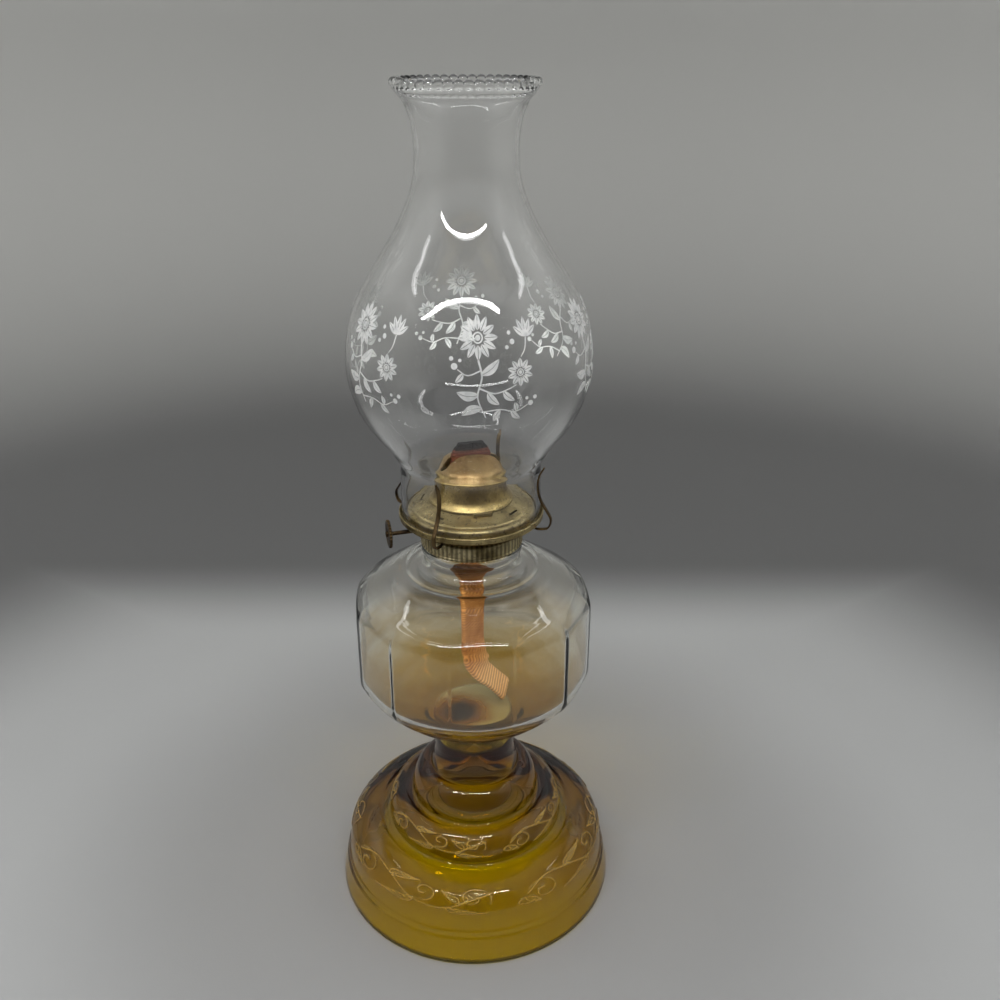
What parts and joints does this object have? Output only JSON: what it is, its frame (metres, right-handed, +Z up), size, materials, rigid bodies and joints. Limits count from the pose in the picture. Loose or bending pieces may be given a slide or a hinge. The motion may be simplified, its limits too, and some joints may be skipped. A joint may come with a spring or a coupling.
{
  "type": "kerosene table lamp",
  "caption": "Kerosene table lamp: stepped amber glass foot, clear panelled font, brass flat wick burner with thumb wheel and spring prongs, and a clear bulbous glass chimney with a beaded rim.",
  "frame": {"origin": "middle of the foot's rest ring, on the surface the lamp stands on", "axes": "+Z up along the lamp's axis; the wick and its raiser's shaft lie along X with the thumb wheel at -X; -Y is the front"},
  "size_m": [0.1652, 0.1652, 0.4599],
  "materials": {
    "amber_glass": "pressed amber glass, polished",
    "clear_glass": "pressed clear glass, faintly green",
    "chimney_glass": "thin blown clear glass with a white printed band",
    "collar_brass": "dull aged brass",
    "burner_brass": "aged speckled brass",
    "cone_brass": "brushed brass with heat tint",
    "dark_brass": "dark oxidised brass",
    "cork": "matte cork gasket",
    "wick_cotton": "oil-soaked woven cotton, charred at the top"
  },
  "bodies": {
    "lamp_base": {"foot": "amber_glass", "font": "clear_glass", "font_collar": "collar_brass", "collar_gasket": "cork"},
    "burner": {"burner_body": "burner_brass", "gallery": "burner_brass", "air_plate": "burner_brass", "deflector_cone": "cone_brass", "wick_tube": "burner_brass", "vent_tube": "burner_brass", "shaft_sleeve": "burner_brass", "shaft_bush": "burner_brass"},
    "wick_raiser": {"wick_shaft": "dark_brass", "spur_wheel_1": "dark_brass", "spur_wheel_2": "dark_brass", "spur_wheel_3": "dark_brass", "thumb_wheel": "dark_brass"},
    "wick_strip": {"wick": "wick_cotton"},
    "prong_fl": {"prong_front_left": "dark_brass"},
    "prong_fr": {"prong_front_right": "dark_brass"},
    "prong_rl": {"prong_rear_left": "dark_brass"},
    "prong_rr": {"prong_rear_right": "dark_brass"},
    "glass_chimney": {"chimney": "chimney_glass"}
  },
  "joints": [
    {"name": "burner_turn", "type": "hinge", "parent": "lamp_base", "child": "burner", "pos_m": [0, 0, 0.2373], "axis": [0, 0, 1], "continuous": true},
    {"name": "knob_turn", "type": "hinge", "parent": "burner", "child": "wick_raiser", "pos_m": [0, -0.006, 0.2404], "axis": [1, 0, 0], "range_deg": [-100, 75]},
    {"name": "wick_lift", "type": "slide", "parent": "burner", "child": "wick_strip", "axis": [0, 0, 1], "range_m": [-0.00785, 0.00589]},
    {"name": "chimney_lift", "type": "slide", "parent": "burner", "child": "glass_chimney", "axis": [0, 0, 1], "range_m": [0, 0.09]},
    {"name": "prong_flex_front_left", "type": "hinge", "parent": "burner", "child": "prong_fl", "pos_m": [-0.02358, -0.02912, 0.2418], "axis": [0.7771, -0.6293, 0], "range_deg": [0, 6], "stiffness_Nm_per_rad": 0.6},
    {"name": "prong_flex_front_right", "type": "hinge", "parent": "burner", "child": "prong_fr", "pos_m": [0.02912, -0.02358, 0.2418], "axis": [0.6293, 0.7771, 0], "range_deg": [0, 6], "stiffness_Nm_per_rad": 0.6},
    {"name": "prong_flex_rear_right", "type": "hinge", "parent": "burner", "child": "prong_rr", "pos_m": [0.02358, 0.02912, 0.2418], "axis": [-0.7771, 0.6293, 0], "range_deg": [0, 6], "stiffness_Nm_per_rad": 0.6},
    {"name": "prong_flex_rear_left", "type": "hinge", "parent": "burner", "child": "prong_rl", "pos_m": [-0.02912, 0.02358, 0.2418], "axis": [-0.6293, -0.7771, 0], "range_deg": [0, 6], "stiffness_Nm_per_rad": 0.6}
  ],
  "couplings": [
    {"joint": "knob_turn", "follows": "wick_lift", "rad_per_m": 222.22}
  ]
}
